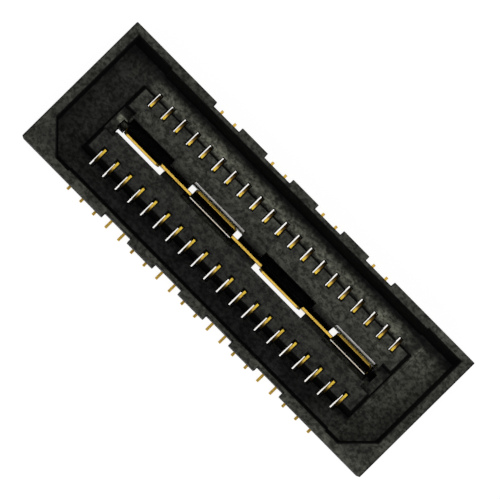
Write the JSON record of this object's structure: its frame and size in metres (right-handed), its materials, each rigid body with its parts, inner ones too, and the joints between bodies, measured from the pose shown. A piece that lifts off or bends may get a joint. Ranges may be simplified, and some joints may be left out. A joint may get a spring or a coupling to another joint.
{
  "type": "board to board connector",
  "caption": "Surface-mount board to board socket: black moulded housing with a keyed trench round a slotted island, rows of stamped gold contacts and a central ground strip.",
  "frame": {"origin": "middle of the part, on the plane of the board that it is soldered to", "axes": "+X along the contact rows, +Y towards the side with square trench corners (row A), away from the two keying corners, +Z away from the board, the way the mating half is pulled off"},
  "size_m": [0.0212, 0.0074, 0.0033],
  "materials": {
    "housing_plastic": "fine matte grain",
    "contact_gold": "satin gold plate",
    "ground_gold": "satin gold plate"
  },
  "bodies": {
    "root": {"housing": "housing_plastic", "ground_plane": "ground_gold", "contact_a01": "contact_gold", "contact_a02": "contact_gold", "contact_a03": "contact_gold", "contact_a04": "contact_gold", "contact_a05": "contact_gold", "contact_a06": "contact_gold", "contact_a07": "contact_gold", "contact_a08": "contact_gold", "contact_a09": "contact_gold", "contact_a10": "contact_gold", "contact_a11": "contact_gold", "contact_a12": "contact_gold", "contact_a13": "contact_gold", "contact_a14": "contact_gold", "contact_a15": "contact_gold", "contact_a16": "contact_gold", "contact_a17": "contact_gold", "contact_a18": "contact_gold", "contact_a19": "contact_gold", "contact_a20": "contact_gold", "contact_b01": "contact_gold", "contact_b02": "contact_gold", "contact_b03": "contact_gold", "contact_b04": "contact_gold", "contact_b05": "contact_gold", "contact_b06": "contact_gold", "contact_b07": "contact_gold", "contact_b08": "contact_gold", "contact_b09": "contact_gold", "contact_b10": "contact_gold", "contact_b11": "contact_gold", "contact_b12": "contact_gold", "contact_b13": "contact_gold", "contact_b14": "contact_gold", "contact_b15": "contact_gold", "contact_b16": "contact_gold", "contact_b17": "contact_gold", "contact_b18": "contact_gold", "contact_b19": "contact_gold", "contact_b20": "contact_gold"}
  },
  "joints": []
}
